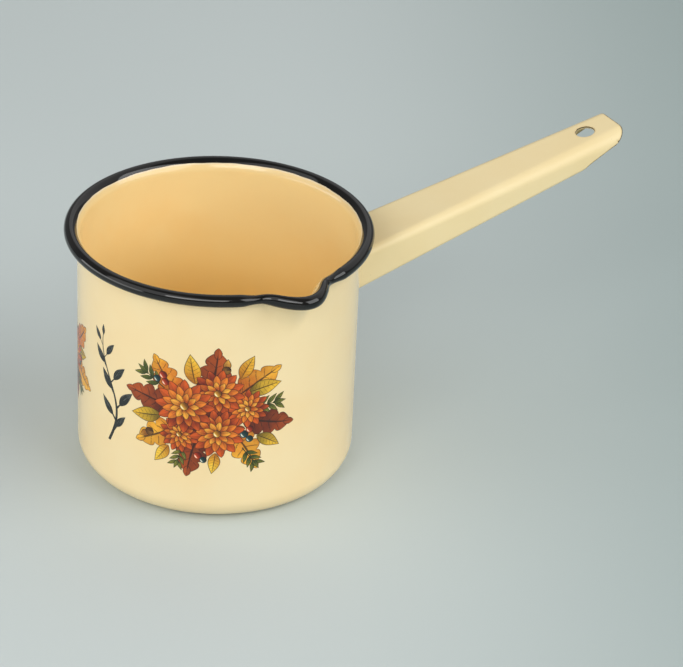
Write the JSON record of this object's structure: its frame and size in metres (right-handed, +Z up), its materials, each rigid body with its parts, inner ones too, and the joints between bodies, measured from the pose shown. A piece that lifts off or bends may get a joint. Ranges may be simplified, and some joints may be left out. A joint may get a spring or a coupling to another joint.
{
  "type": "saucepan",
  "caption": "Small enamelled-steel milk pan with a rolled dark rim, a side pouring lip and a hollow upswept handle with a hanging hole.",
  "frame": {"origin": "middle of the base, on the surface the pan stands on", "axes": "+X towards the handle, +Z up out of the bowl, +Y to the left of the handle seen from the bowl; the pouring lip is towards -Y"},
  "size_m": [0.2864, 0.1527, 0.1311],
  "materials": {
    "steel": "drawn low-carbon sheet, dull",
    "inner_enamel": "glossy warm cream vitreous enamel",
    "outer_enamel": "glossy pale cream vitreous enamel",
    "rim_enamel": "glossy black vitreous enamel",
    "handle_lining": "thin cream enamel, darker than the outside",
    "weld": "heat-dulled weld metal",
    "print": "fired overglaze transfer in autumn colours",
    "ink": "fired overglaze transfer in dark ink"
  },
  "bodies": {
    "root": {"pot_shell": "steel", "inner_enamel": "inner_enamel", "outer_enamel": "outer_enamel", "rim_enamel": "rim_enamel", "handle_shell": "steel", "handle_enamel": "outer_enamel", "handle_lining": "handle_lining", "plug_welds": "weld", "posy_transfer": "print", "small_posy_transfer": "print", "ink_twig_transfer": "ink"}
  },
  "joints": []
}
